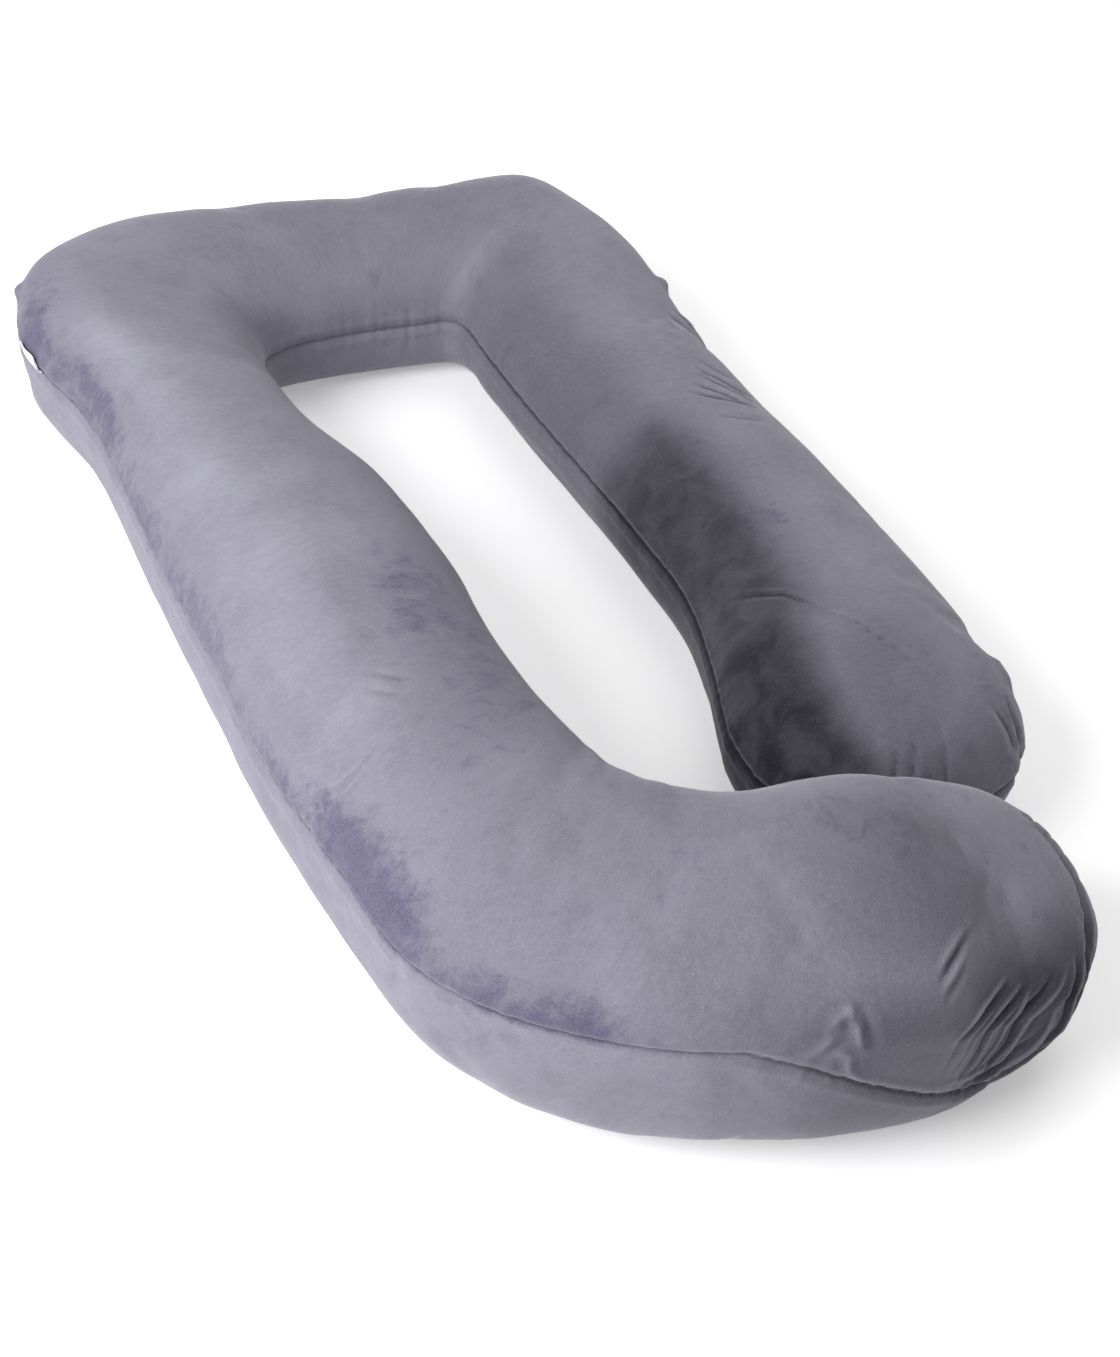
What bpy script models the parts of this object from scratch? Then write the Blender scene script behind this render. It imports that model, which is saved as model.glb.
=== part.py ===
"""A full-length pregnancy pillow: one filled tube that bends round the sleeper, with
a long arm in front that curls in under the feet, a head section and a shorter arm
behind the back, and a small blank label sewn into its side seam.

Metres. The head end points along +Y and +Z is up. The origin is on the floor under
the middle of the pillow's box. The pillow lies on its back, flat where it rests.
"""
import math
from collections import namedtuple

import bmesh
import bpy
from mathutils import Matrix, Vector

PILLOW_LENGTH = 1.45
PILLOW_WIDTH = 0.75
FULL_HEIGHT = 0.245

# A rib is one cross-section, named for the place on the sleeper that it lies beside.
# It runs from the outer to the inner edge of the tube, where the side seams are.
# height is a share of FULL_HEIGHT, and seam is the height of the outer seam as a
# share of the rib's own height.
Rib = namedtuple("Rib", "place outer_x outer_y inner_x inner_y height seam")
RIBS = [
    Rib("back arm end", 0.324, -0.360, 0.038, -0.305, 0.73, 0.50),
    Rib("seat", 0.333, -0.240, 0.076, -0.205, 0.72, 0.50),
    Rib("back of waist", 0.336, -0.120, 0.098, -0.110, 0.71, 0.50),
    Rib("back of ribs", 0.334, 0.010, 0.104, 0.010, 0.71, 0.50),
    Rib("elbow", 0.331, 0.140, 0.101, 0.140, 0.70, 0.50),
    Rib("back of arm", 0.332, 0.262, 0.096, 0.260, 0.71, 0.50),
    Rib("right shoulder", 0.342, 0.390, 0.094, 0.360, 0.74, 0.50),
    Rib("right cheek", 0.341, 0.518, 0.096, 0.412, 0.74, 0.50),
    Rib("right corner", 0.296, 0.640, 0.082, 0.438, 0.73, 0.50),
    Rib("right of head", 0.170, 0.668, 0.045, 0.448, 0.70, 0.50),
    Rib("crown of head", 0.028, 0.684, -0.005, 0.455, 0.69, 0.50),
    Rib("left of head", -0.115, 0.709, -0.060, 0.458, 0.69, 0.50),
    Rib("left crown", -0.253, 0.715, -0.112, 0.455, 0.70, 0.52),
    Rib("left corner", -0.364, 0.654, -0.150, 0.436, 0.72, 0.55),
    Rib("left cheek", -0.408, 0.520, -0.168, 0.395, 0.75, 0.57),
    Rib("neck", -0.386, 0.375, -0.177, 0.330, 0.79, 0.57),
    Rib("chest", -0.390, 0.235, -0.174, 0.215, 0.85, 0.57),
    Rib("belly", -0.398, 0.090, -0.144, 0.090, 0.90, 0.575),
    Rib("hip", -0.401, -0.050, -0.138, -0.050, 0.94, 0.58),
    Rib("thigh", -0.406, -0.190, -0.150, -0.180, 0.97, 0.585),
    Rib("knee", -0.398, -0.337, -0.146, -0.290, 0.99, 0.595),
    Rib("shin", -0.375, -0.504, -0.128, -0.372, 1.00, 0.63),
    Rib("curl corner", -0.289, -0.626, -0.100, -0.405, 1.00, 0.71),
    Rib("heel", -0.170, -0.697, -0.055, -0.431, 1.00, 0.74),
    Rib("sole", -0.045, -0.740, 0.043, -0.448, 1.01, 0.715),
    Rib("toes", 0.060, -0.726, 0.081, -0.474, 0.93, 0.64),
]

# Each end is a rounded nose whose gathered tip lies on the seam, at a share of its
# rib's height. The squarer the nose, the higher its power.
Nose = namedtuple("Nose", "length power tip_height gathers")
BACK_ARM_NOSE = Nose(0.130, 2.7, 0.40, 0.0040)
CURL_NOSE = Nose(0.130, 2.1, 0.48, 0.0040)

CROWN_POWER = 2.3
UNDERSIDE_POWER = 3.4
FLOOR_PRESS = 0.006
SEAM_DRAW_IN = 0.006
RING_SPACING = 0.024
NOSE_RINGS = 9
# Steps round a quarter of a ring, in degrees up or down from the seam.
QUARTER_STEPS = (0, 6, 15, 28, 43, 59, 75)

# The label is a tape folded in two. Its place is counted in ribs along the tube.
# It leaves the seam in a bend and then leans up against the upper panel.
LABEL_PLACE = 14.17
LABEL_LENGTH = 0.042
LABEL_REACH = 0.020
LABEL_BEND = 0.005
LABEL_LEAN = math.radians(80)
LABEL_LAYER = 0.0006
LABEL_ROOT_GAP = 0.0008
LABEL_WAVE = 0.0009
LABEL_STEPS = 10
LABEL_STATIONS = (0.0, 0.0022, 0.0044, 0.0068, 0.0130)

VELVET_GREY = (0.30, 0.29, 0.345, 1.0)
LABEL_WHITE = (0.86, 0.86, 0.85, 1.0)

STRETCH_X = PILLOW_WIDTH / (max(r.outer_x for r in RIBS) - min(r.outer_x for r in RIBS))
STRETCH_Y = PILLOW_LENGTH / (max(r.outer_y for r in RIBS) - min(r.outer_y for r in RIBS))


def clear_scene():
    for thing in list(bpy.data.objects):
        bpy.data.objects.remove(thing, do_unlink=True)


def make_collection(name):
    collection = bpy.data.collections.new(name)
    bpy.context.scene.collection.children.link(collection)
    return collection


def cloth_material(name, colour, roughness):
    material = bpy.data.materials.new(name)
    material.use_nodes = True
    shader = material.node_tree.nodes["Principled BSDF"]
    shader.inputs["Base Color"].default_value = colour
    shader.inputs["Roughness"].default_value = roughness
    shader.inputs["Metallic"].default_value = 0.0
    return material


def skin(name, loops, tips, material, collection):
    """One closed body from equal loops of points, closed at each end on a tip point,
    or on the loop itself where the tip is None."""
    shape = bmesh.new()
    rows = [[shape.verts.new(point) for point in loop] for loop in loops]
    for near, far in zip(rows, rows[1:]):
        for k, corner in enumerate(near):
            beside = (k + 1) % len(near)
            shape.faces.new((corner, near[beside], far[beside], far[k]))
    for row, tip in ((rows[0], tips[0]), (rows[-1], tips[1])):
        if tip is None:
            shape.faces.new(row)
            continue
        pole = shape.verts.new(tip)
        for k, corner in enumerate(row):
            shape.faces.new((corner, row[(k + 1) % len(row)], pole))
    bmesh.ops.recalc_face_normals(shape, faces=shape.faces)
    mesh = bpy.data.meshes.new(name)
    shape.to_mesh(mesh)
    shape.free()
    mesh.materials.append(material)
    body = bpy.data.objects.new(name, mesh)
    collection.objects.link(body)
    return body


def between(values, place):
    """The smooth Catmull-Rom curve through evenly spaced values, at a place."""
    last = len(values) - 1
    i = min(int(place), last - 1)
    t = place - i
    b, c = values[i], values[i + 1]
    a = values[i - 1] if i > 0 else 2 * b - c
    d = values[i + 2] if i + 2 <= last else 2 * c - b
    return 0.5 * (2 * b + (c - a) * t + (2 * a - 5 * b + 4 * c - d) * t ** 2
                  + (3 * b - a - 3 * c + d) * t ** 3)


def rib_at(place):
    """The outer and inner seam points, the height and the outer seam's height."""
    x_out, y_out, x_in, y_in, height, seam = [
        between([rib[column] for rib in RIBS], place) for column in range(1, len(Rib._fields))]
    height *= FULL_HEIGHT
    return (Vector((x_out * STRETCH_X, y_out * STRETCH_Y)),
            Vector((x_in * STRETCH_X, y_in * STRETCH_Y)), height, height * seam)


def ring_places():
    """Places along the tube, at most about one RING_SPACING apart at its edges."""
    places = []
    for i in range(len(RIBS) - 1):
        outer, inner, _, _ = rib_at(i)
        outer_next, inner_next, _, _ = rib_at(i + 1)
        reach = max((outer_next - outer).length, (inner_next - inner).length)
        steps = round(reach / RING_SPACING)
        places += [i + k / steps for k in range(steps)]
    return places + [len(RIBS) - 1]


def ring(outer, inner, height, seam, lift=0.0, gathers=0.0):
    """The points round one rib, from the outer seam over the crown to the inner seam
    and back along the floor. Gathers draw in every other point."""
    middle = (outer + inner) / 2
    half = (outer - inner).length / 2
    across = (outer - inner).normalized()
    quarters = ((1, 1, seam, CROWN_POWER, False), (-1, 1, height / 2, CROWN_POWER, True),
                (-1, -1, height / 2, UNDERSIDE_POWER, False), (1, -1, seam, UNDERSIDE_POWER, True))
    points = []
    for side, up, seam_height, power, from_middle in quarters:
        room = height - seam_height if up > 0 else seam_height
        steps = (90,) + QUARTER_STEPS[:0:-1] if from_middle else QUARTER_STEPS
        for step in steps:
            turn = math.radians(step)
            reach = half * math.cos(turn) ** (2 / power)
            rise = room * math.sin(turn) ** (2 / power)
            if step == 0:
                reach -= min(SEAM_DRAW_IN, half / 4)
            elif len(points) % 2 and up > 0:
                reach -= gathers * math.cos(turn)
                rise -= gathers * math.sin(turn)
            flat = middle + across * side * reach
            above = seam_height + up * rise
            pressed = max(above - FLOOR_PRESS, 0.0) * height / (height - FLOOR_PRESS)
            points.append(Vector((flat.x, flat.y, pressed + lift)))
    return points


def end_direction(place, inward):
    """The way that the tube points at one of its ends, square to the end rib."""
    outer, inner, _, _ = rib_at(place)
    outer_in, inner_in, _, _ = rib_at(inward)
    along = outer + inner - outer_in - inner_in
    across = (outer - inner).normalized()
    return (along - across * along.dot(across)).normalized()


def nose_loops(nose, place, inward):
    """The loops that close the tube beyond its end rib, and the tip point."""
    outer, inner, height, seam = rib_at(place)
    forward = end_direction(place, inward)
    middle = (outer + inner) / 2
    half = (outer - inner) / 2
    loops = []
    for k in range(1, NOSE_RINGS):
        turn = math.pi / 2 * k / NOSE_RINGS
        shrink = math.cos(turn) ** (2 / nose.power)
        centre = middle + forward * nose.length * math.sin(turn) ** (2 / nose.power)
        lift = height * nose.tip_height * (1 - shrink)
        loops.append(ring(centre + half * shrink, centre - half * shrink, height * shrink,
                          seam * shrink, lift, nose.gathers * math.sin(2 * turn)))
    tip = middle + forward * nose.length
    return loops, Vector((tip.x, tip.y, height * nose.tip_height))


def add_pillow(material, collection):
    """The whole tube, with a nose at each end."""
    last = len(RIBS) - 1
    back_arm_nose, back_arm_tip = nose_loops(BACK_ARM_NOSE, 0, 1)
    curl_nose, curl_tip = nose_loops(CURL_NOSE, last, last - 1)
    loops = back_arm_nose[::-1] + [ring(*rib_at(place)) for place in ring_places()] + curl_nose
    pillow = skin("pillow", loops, (back_arm_tip, curl_tip), material, collection)
    pillow.data.shade_smooth()
    return pillow


def seam_point(place):
    """A point at the bottom of the outer seam's groove, and the way out of it."""
    outer, inner, height, seam = rib_at(place)
    way_out = (outer - inner).normalized()
    flat = outer - way_out * SEAM_DRAW_IN
    level = (seam - FLOOR_PRESS) * height / (height - FLOOR_PRESS)
    return Vector((flat.x, flat.y, level)), Vector((way_out.x, way_out.y, 0))


def label_outline():
    """The folded tape's section: two layers with a slot between, open at the root.
    Each point is a distance along the tape and a height across its layers."""
    thick = 3 * LABEL_LAYER
    fold = LABEL_REACH - thick
    out = LABEL_STATIONS + (fold,)
    back = tuple(reversed(out))
    return ([(x, thick) for x in out] + [(LABEL_REACH, 2 * LABEL_LAYER), (LABEL_REACH, LABEL_LAYER)]
            + [(x, 0.0) for x in back] + [(x, LABEL_LAYER) for x in out]
            + [(x, 2 * LABEL_LAYER) for x in back])


def bend_up(along, across):
    """A point of the tape's section after its bend: how far out of the seam and how high."""
    angle = min(along / LABEL_BEND, LABEL_LEAN)
    straight = max(along - LABEL_BEND * LABEL_LEAN, 0.0)
    out = LABEL_BEND * math.sin(angle) + straight * math.cos(angle) - across * math.sin(angle)
    up = LABEL_BEND * (1 - math.cos(angle)) + straight * math.sin(angle) + across * math.cos(angle)
    return out, up


def add_label(material, collection):
    """The blank label: a folded tape that comes out of the seam, leans up and waves."""
    rib_step = (rib_at(LABEL_PLACE + 0.5)[0] - rib_at(LABEL_PLACE - 0.5)[0]).length
    loops = []
    for k in range(LABEL_STEPS + 1):
        share = k / LABEL_STEPS
        root, way_out = seam_point(LABEL_PLACE + (share - 0.5) * LABEL_LENGTH / rib_step)
        loop = []
        for along, across in label_outline():
            out, up = bend_up(along, across - 1.5 * LABEL_LAYER)
            sway = LABEL_WAVE * along / LABEL_REACH * math.sin(2 * math.pi * share)
            loop.append(root + way_out * (LABEL_ROOT_GAP + LABEL_WAVE + out + sway)
                        + Vector((0, 0, up)))
        loops.append(loop)
    return skin("side_label", loops, (None, None), material, collection)


def centre_on_floor(bodies):
    """Moves the meshes so that the origin is under the middle of their common box."""
    corners = [vertex.co for body in bodies for vertex in body.data.vertices]
    middle_x = (min(c.x for c in corners) + max(c.x for c in corners)) / 2
    middle_y = (min(c.y for c in corners) + max(c.y for c in corners)) / 2
    for body in bodies:
        body.data.transform(Matrix.Translation((-middle_x, -middle_y, 0)))


def main():
    clear_scene()
    collection = make_collection("pregnancy_pillow")
    pillow = add_pillow(cloth_material("grey_velvet", VELVET_GREY, 0.9), collection)
    label = add_label(cloth_material("white_tape", LABEL_WHITE, 0.7), collection)
    centre_on_floor([pillow, label])


main()
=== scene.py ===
# %% [markdown]
# # A pregnancy pillow in brushed velvet
#
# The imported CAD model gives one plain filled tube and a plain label. This lesson dresses
# them: the tube becomes a soft velvet pillow with a pulled-in seam, gathered ends, creases
# and brushed pile, and the label becomes a folded woven tape. Nothing leaves the CAD box
# by more than the little that cloth stands proud.

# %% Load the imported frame
import math
from collections import namedtuple

import bpy
import numpy as np
from mathutils import Matrix, Vector, kdtree, noise


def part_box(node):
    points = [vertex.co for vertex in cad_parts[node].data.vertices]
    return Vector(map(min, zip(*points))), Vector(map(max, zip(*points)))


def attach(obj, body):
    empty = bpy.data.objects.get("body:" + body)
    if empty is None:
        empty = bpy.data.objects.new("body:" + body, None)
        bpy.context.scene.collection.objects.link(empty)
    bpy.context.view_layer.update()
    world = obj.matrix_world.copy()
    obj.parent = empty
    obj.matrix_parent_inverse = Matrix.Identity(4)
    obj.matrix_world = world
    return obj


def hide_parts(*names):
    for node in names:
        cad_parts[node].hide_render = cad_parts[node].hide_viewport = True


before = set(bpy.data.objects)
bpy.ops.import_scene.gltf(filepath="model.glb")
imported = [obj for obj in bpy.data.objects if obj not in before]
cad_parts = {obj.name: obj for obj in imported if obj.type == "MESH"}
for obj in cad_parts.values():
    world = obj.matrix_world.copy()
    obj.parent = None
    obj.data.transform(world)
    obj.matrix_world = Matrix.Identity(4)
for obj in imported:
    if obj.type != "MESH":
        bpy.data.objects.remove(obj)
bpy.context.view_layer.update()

# %% [markdown]
# ## The camera
#
# A product photographer stands near the pillow's foot, a little to the left, and looks down
# on it. The camera is turned a few degrees on its own axis, so the pillow runs across the
# frame from corner to corner. The lens is worked out for the frame's long side, because
# Blender fits the sensor to that side.

# %% Camera
FRAME_TALL = 1357
FOCAL_PIXELS = 1985
SENSOR = 36.0
CAMERA_ELEVATION = math.radians(43.1)
CAMERA_AZIMUTH = math.radians(-32.1)
CAMERA_ROLL = math.radians(7.2)
CAMERA_DISTANCE = 1.934
CAMERA_TARGET = Vector((-0.0507, -0.1711, 0.10))


def place_camera():
    """Aims the camera at its target along the photograph's line of sight."""
    back = Vector((math.sin(CAMERA_AZIMUTH) * math.cos(CAMERA_ELEVATION),
                   -math.cos(CAMERA_AZIMUTH) * math.cos(CAMERA_ELEVATION),
                   math.sin(CAMERA_ELEVATION)))
    aim = (-back).to_track_quat("-Z", "Y").to_matrix().to_4x4()
    data = bpy.data.cameras.new("photo_camera")
    data.sensor_width = SENSOR
    data.lens = FOCAL_PIXELS / FRAME_TALL * SENSOR
    camera = bpy.data.objects.new("photo_camera", data)
    bpy.context.collection.objects.link(camera)
    camera.matrix_world = (Matrix.Translation(CAMERA_TARGET + back * CAMERA_DISTANCE) @ aim
                           @ Matrix.Rotation(CAMERA_ROLL, 4, "Z"))
    bpy.context.scene.camera = camera
    return camera


print("lens", round(place_camera().data.lens, 1), "mm")

# %% [markdown]
# ## Shader maths and nodes
#
# Two small helpers keep the materials readable. A `Wire` is a socket that can be added,
# multiplied and compared in an expression, which lays the Math nodes. A `Finish` is one
# material, and its `node` method makes any other node from its settings and its inputs.

# %% Wires and finishes


class Wire:
    """An output socket that lays Math nodes when it stands in an expression."""

    def __init__(self, finish, socket):
        self.finish, self.socket = finish, socket

    def _math(self, operation, *terms):
        return self.finish.node("ShaderNodeMath", {"operation": operation},
                                dict(enumerate(terms)))

    def __add__(self, other):
        return self._math("ADD", self, other)

    def __radd__(self, other):
        return self._math("ADD", other, self)

    def __sub__(self, other):
        return self._math("SUBTRACT", self, other)

    def __rsub__(self, other):
        return self._math("SUBTRACT", other, self)

    def __mul__(self, other):
        return self._math("MULTIPLY", self, other)

    def __rmul__(self, other):
        return self._math("MULTIPLY", other, self)

    def __truediv__(self, other):
        return self._math("DIVIDE", self, other)

    def size(self):
        return self._math("ABSOLUTE", self)

    def step(self, low, high):
        """0 below low, 1 above high and smooth between them."""
        return self.finish.node("ShaderNodeMapRange", {"interpolation_type": "SMOOTHSTEP"},
                                {"Value": self, "From Min": low, "From Max": high})


class Finish:
    """One material, with its Principled shader and a method that makes nodes."""

    def __init__(self, name, roughness, **constants):
        self.material = bpy.data.materials.new(name)
        self.material.use_nodes = True
        self.tree = self.material.node_tree
        self.shader = self.tree.nodes["Principled BSDF"]
        self.shader.inputs["Roughness"].default_value = roughness
        for socket, value in constants.items():
            self.shader.inputs[socket.replace("_", " ")].default_value = value

    def node(self, kind, settings=None, inputs=None, output=0):
        made = self.tree.nodes.new(kind)
        for key, value in (settings or {}).items():
            setattr(made, key, value)
        for key, value in (inputs or {}).items():
            if isinstance(value, Wire):
                self.tree.links.new(value.socket, made.inputs[key])
            else:
                made.inputs[key].default_value = value
        return Wire(self, made.outputs[output])

    def blend(self, factor, low, high):
        """A colour that goes from low to high as factor goes from 0 to 1."""
        made = self.node("ShaderNodeMix", {"data_type": "RGBA"}, {}, 2).socket.node
        for key, value in ((0, factor), (6, low), (7, high)):
            if isinstance(value, Wire):
                self.tree.links.new(value.socket, made.inputs[key])
            else:
                made.inputs[key].default_value = value
        return Wire(self, made.outputs[2])

    def grain(self, where, scale, detail=2.0, rough=0.5, distortion=0.0):
        """Noise from 0 to 1 at a number of waves to the metre."""
        return self.node("ShaderNodeTexNoise", None,
                         {"Vector": where, "Scale": scale, "Detail": detail,
                          "Roughness": rough, "Distortion": distortion})

    def feed(self, socket, wire):
        self.tree.links.new(wire.socket, self.shader.inputs[socket])

    def bump(self, layers):
        """Chains Bump nodes, one for each (height, strength, depth in metres)."""
        normal = None
        for height, strength, depth in layers:
            inputs = {"Height": height, "Strength": strength, "Distance": depth}
            if normal is not None:
                inputs["Normal"] = normal
            normal = self.node("ShaderNodeBump", None, inputs)
        self.feed("Normal", normal)


# %% [markdown]
# ## The studio
#
# The pillow lies on a seamless pale floor. A large soft light stands on the left and a
# second one hangs behind the head. The bright surroundings do the rest, so shadows are
# wide and soft. The side of the curled end is the darkest, from the lights and from painted
# shade on the velvet.

# %% Floor, lights and surroundings
FLOOR_HALF = 6.0
FLOOR_COLOUR = (0.93, 0.93, 0.935, 1.0)
FLOOR_GLOW = 0.25
SKY_STRENGTH = 0.47


def add_floor():
    mesh = bpy.data.meshes.new("studio_floor")
    h = FLOOR_HALF
    mesh.from_pydata([(-h, -h, 0), (h, -h, 0), (h, h, 0), (-h, h, 0)], [], [(0, 1, 2, 3)])
    floor = bpy.data.objects.new("studio_floor", mesh)
    bpy.context.collection.objects.link(floor)
    paper = Finish("floor_paper", 0.85, Emission_Strength=FLOOR_GLOW,
                   Emission_Color=(1.0, 1.0, 1.0, 1.0))
    where = paper.node("ShaderNodeTexCoord", None, None, "Object")
    paper.feed("Base Color", paper.blend(paper.grain(where, 0.8), FLOOR_COLOUR,
                                         (0.90, 0.90, 0.91, 1.0)))
    mesh.materials.append(paper.material)


def add_soft_light(name, place, target, size, watts, colour=(1.0, 1.0, 1.0)):
    data = bpy.data.lights.new(name, "AREA")
    data.shape = "DISK"
    data.size = size
    data.energy = watts
    data.color = colour
    light = bpy.data.objects.new(name, data)
    bpy.context.collection.objects.link(light)
    light.location = place
    light.rotation_euler = (Vector(target) - Vector(place)).to_track_quat("-Z", "Y").to_euler()


def light_surroundings():
    world = bpy.data.worlds.new("studio_surroundings")
    world.use_nodes = True
    world.node_tree.nodes["Background"].inputs["Color"].default_value = (1, 1, 1, 1)
    world.node_tree.nodes["Background"].inputs["Strength"].default_value = SKY_STRENGTH
    bpy.context.scene.world = world


add_floor()
add_soft_light("key_light", (-2.8, -0.4, 2.1), (-0.15, 0.0, 0.1), 2.2, 138)
add_soft_light("top_light", (1.2, 1.2, 3.0), (0.0, 0.0, 0.1), 2.6, 36)
light_surroundings()
bpy.context.scene.view_settings.view_transform = "Standard"
print("floor and", len(bpy.data.lights), "lights")

# %% [markdown]
# ## The shape of the tube
#
# The real cover is one tube of cloth. Each rib below is one cross-section, named for the
# part of the sleeper that it lies beside, with the same numbers as in the CAD source, in
# metres. A smooth curve runs through them. Any point of the cloth has two coordinates:
# its place along the tube, counted in ribs, and its turn round the tube in degrees, with
# the outer seam at 0, the crown at 90, the inner seam at 180 and the floor at 270. Places
# below 0 and above the last rib are on the rounded noses that close the two ends.

# %% Ribs of the tube
PILLOW_LENGTH = 1.45
PILLOW_WIDTH = 0.75
FULL_HEIGHT = 0.245
CROWN_POWER = 2.3
UNDERSIDE_POWER = 3.4
FLOOR_PRESS = 0.006
Rib = namedtuple("Rib", "place outer_x outer_y inner_x inner_y height seam")
RIBS = [
    Rib("back arm end", 0.324, -0.360, 0.038, -0.305, 0.73, 0.50),
    Rib("seat", 0.333, -0.240, 0.076, -0.205, 0.72, 0.50),
    Rib("back of waist", 0.336, -0.120, 0.098, -0.110, 0.71, 0.50),
    Rib("back of ribs", 0.334, 0.010, 0.104, 0.010, 0.71, 0.50),
    Rib("elbow", 0.331, 0.140, 0.101, 0.140, 0.70, 0.50),
    Rib("back of arm", 0.332, 0.262, 0.096, 0.260, 0.71, 0.50),
    Rib("right shoulder", 0.342, 0.390, 0.094, 0.360, 0.74, 0.50),
    Rib("right cheek", 0.341, 0.518, 0.096, 0.412, 0.74, 0.50),
    Rib("right corner", 0.296, 0.640, 0.082, 0.438, 0.73, 0.50),
    Rib("right of head", 0.170, 0.668, 0.045, 0.448, 0.70, 0.50),
    Rib("crown of head", 0.028, 0.684, -0.005, 0.455, 0.69, 0.50),
    Rib("left of head", -0.115, 0.709, -0.060, 0.458, 0.69, 0.50),
    Rib("left crown", -0.253, 0.715, -0.112, 0.455, 0.70, 0.52),
    Rib("left corner", -0.364, 0.654, -0.150, 0.436, 0.72, 0.55),
    Rib("left cheek", -0.408, 0.520, -0.168, 0.395, 0.75, 0.57),
    Rib("neck", -0.386, 0.375, -0.177, 0.330, 0.79, 0.57),
    Rib("chest", -0.390, 0.235, -0.174, 0.215, 0.85, 0.57),
    Rib("belly", -0.398, 0.090, -0.144, 0.090, 0.90, 0.575),
    Rib("hip", -0.401, -0.050, -0.138, -0.050, 0.94, 0.58),
    Rib("thigh", -0.406, -0.190, -0.150, -0.180, 0.97, 0.585),
    Rib("knee", -0.398, -0.337, -0.146, -0.290, 0.99, 0.595),
    Rib("shin", -0.375, -0.504, -0.128, -0.372, 1.00, 0.63),
    Rib("curl corner", -0.289, -0.626, -0.100, -0.405, 1.00, 0.71),
    Rib("heel", -0.170, -0.697, -0.055, -0.431, 1.00, 0.74),
    Rib("sole", -0.045, -0.740, 0.043, -0.448, 1.01, 0.715),
    Rib("toes", 0.060, -0.726, 0.081, -0.474, 0.93, 0.64),
]
Nose = namedtuple("Nose", "length power tip_height")
BACK_ARM_NOSE = Nose(0.130, 2.7, 0.40)
CURL_NOSE = Nose(0.130, 2.1, 0.48)
LAST = len(RIBS) - 1
RIB_ROWS = np.array([rib[1:] for rib in RIBS])
RIB_ROWS[:, [0, 2]] *= PILLOW_WIDTH / np.ptp(RIB_ROWS[:, 0])
RIB_ROWS[:, [1, 3]] *= PILLOW_LENGTH / np.ptp(RIB_ROWS[:, 1])
RIB_ROWS[:, 4] *= FULL_HEIGHT
RIB_ROWS[:, 5] *= RIB_ROWS[:, 4]
print(len(RIBS), "ribs,", PILLOW_LENGTH, "m long and", PILLOW_WIDTH, "m wide")

# %% From place and turn to a point


def between(place):
    """The smooth Catmull-Rom curve through the ribs' rows, at an array of places."""
    i = np.clip(place.astype(int), 0, LAST - 1)
    t = (place - i)[:, None]
    b, c = RIB_ROWS[i], RIB_ROWS[i + 1]
    a = np.where((i > 0)[:, None], RIB_ROWS[np.maximum(i - 1, 0)], 2 * b - c)
    d = np.where((i < LAST - 1)[:, None], RIB_ROWS[np.minimum(i + 2, LAST)], 2 * c - b)
    return 0.5 * (2 * b + (c - a) * t + (2 * a - 5 * b + 4 * c - d) * t ** 2
                  + (3 * b - a - 3 * c + d) * t ** 3)


def end_direction(end, inward):
    """The way that the tube points at one of its ends, square to the end rib."""
    outer, inner = RIB_ROWS[end, 0:2], RIB_ROWS[end, 2:4]
    along = outer + inner - RIB_ROWS[inward, 0:2] - RIB_ROWS[inward, 2:4]
    across = (outer - inner) / np.linalg.norm(outer - inner)
    along = along - across * (along @ across)
    return along / np.linalg.norm(along)


END_WAYS = (end_direction(0, 1), end_direction(LAST, LAST - 1))


def skin(place, turn):
    """Points of the smooth skin at equal arrays of places and turns, before any fold."""
    place, turn = np.broadcast_arrays(np.asarray(place, float), np.asarray(turn, float))
    shape = place.shape
    place, turn = place.ravel(), np.radians(turn.ravel())
    on_rib = np.clip(place, 0, LAST)
    rows = between(on_rib)
    outer, inner, height, seam = rows[:, 0:2], rows[:, 2:4], rows[:, 4], rows[:, 5]
    first = place < LAST / 2
    power = np.where(first, BACK_ARM_NOSE.power, CURL_NOSE.power)
    lean = np.clip(np.abs(place - on_rib), 0, 1) * math.pi / 2
    shrink = np.clip(np.cos(lean), 0, 1) ** (2 / power)
    ahead = (np.where(first, BACK_ARM_NOSE.length, CURL_NOSE.length)
             * np.sin(lean) ** (2 / power))
    way = np.where(first[:, None], END_WAYS[0], END_WAYS[1])
    middle = (outer + inner) / 2 + way * ahead[:, None]
    c, s = np.cos(turn), np.sin(turn)
    level = np.where(c >= 0, seam, height / 2)
    room = np.where(s >= 0, height - level, level)
    round_off = 2 / np.where(s >= 0, CROWN_POWER, UNDERSIDE_POWER)
    reach = np.sign(c) * np.abs(c) ** round_off * shrink
    rise = level + np.sign(s) * room * np.abs(s) ** round_off
    pressed = np.maximum(rise - FLOOR_PRESS, 0) * height / (height - FLOOR_PRESS) * shrink
    tip = np.where(first, BACK_ARM_NOSE.tip_height, CURL_NOSE.tip_height)
    z = pressed + height * tip * (1 - shrink)
    flat = middle + (outer - inner) / 2 * reach[:, None]
    return np.concatenate([flat, z[:, None]], 1).reshape(*shape, 3)


# %% [markdown]
# ## The cloth grid
#
# The skin is cut into rings and columns like a knitted tube. The columns crowd together
# beside the two seams, where the cloth turns sharply into a groove, and the rings crowd
# together towards the two tips. The grid is made twice: coarse for the cloth simulation,
# and fine for the finished pillow. The fine one has four columns for each coarse one, and
# two, four or eight rings, the more the finer the creases are there.

# %% Rings and columns
RING_SPACING = 0.0115
NOSE_RINGS = 16
NOSE_CROWDING = 1.6
QUARTER_TURN = (0, 1, 2.5, 4.5, 7, 10, 14, 18.5, 23.5, 29, 35, 41, 47.5, 54, 60.5, 67, 73.5,
                81.5)


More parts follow.
